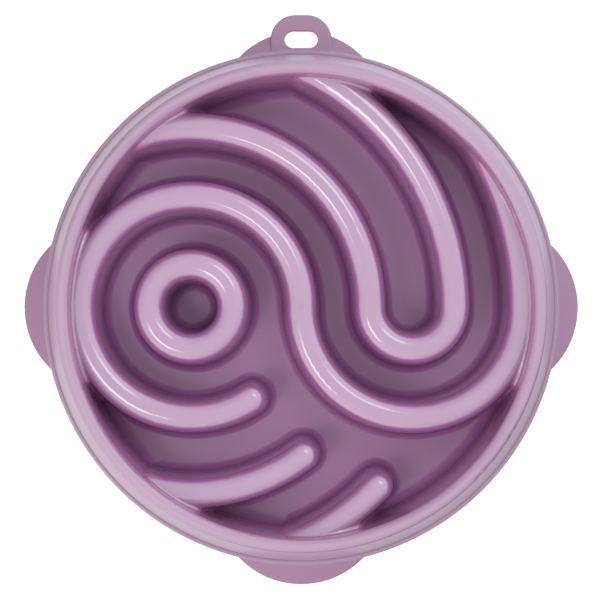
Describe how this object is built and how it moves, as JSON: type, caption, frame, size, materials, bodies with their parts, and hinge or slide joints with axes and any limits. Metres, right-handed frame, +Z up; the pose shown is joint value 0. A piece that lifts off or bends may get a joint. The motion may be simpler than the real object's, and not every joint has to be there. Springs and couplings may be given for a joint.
{
  "type": "slow feeder bowl",
  "caption": "Round pet feeding bowl with a maze of raised ridges that slow eating, foot lobes with non-slip pads, and a hanging loop.",
  "frame": {"origin": "under the middle of the outline, 3.9 mm from the bowl's axis towards the loop, at the surface that the foot pads stand on", "axes": "+Z up, +Y towards the hanging loop, +X to the right when the loop is at the top"},
  "size_m": [0.29, 0.2978, 0.06],
  "materials": {
    "bowl_plastic": "gloss",
    "pad_rubber": "matte"
  },
  "bodies": {
    "root": {"bowl": "bowl_plastic", "foot_pad_right": "pad_rubber", "foot_pad_back": "pad_rubber", "foot_pad_left": "pad_rubber", "foot_pad_front": "pad_rubber"}
  },
  "joints": []
}
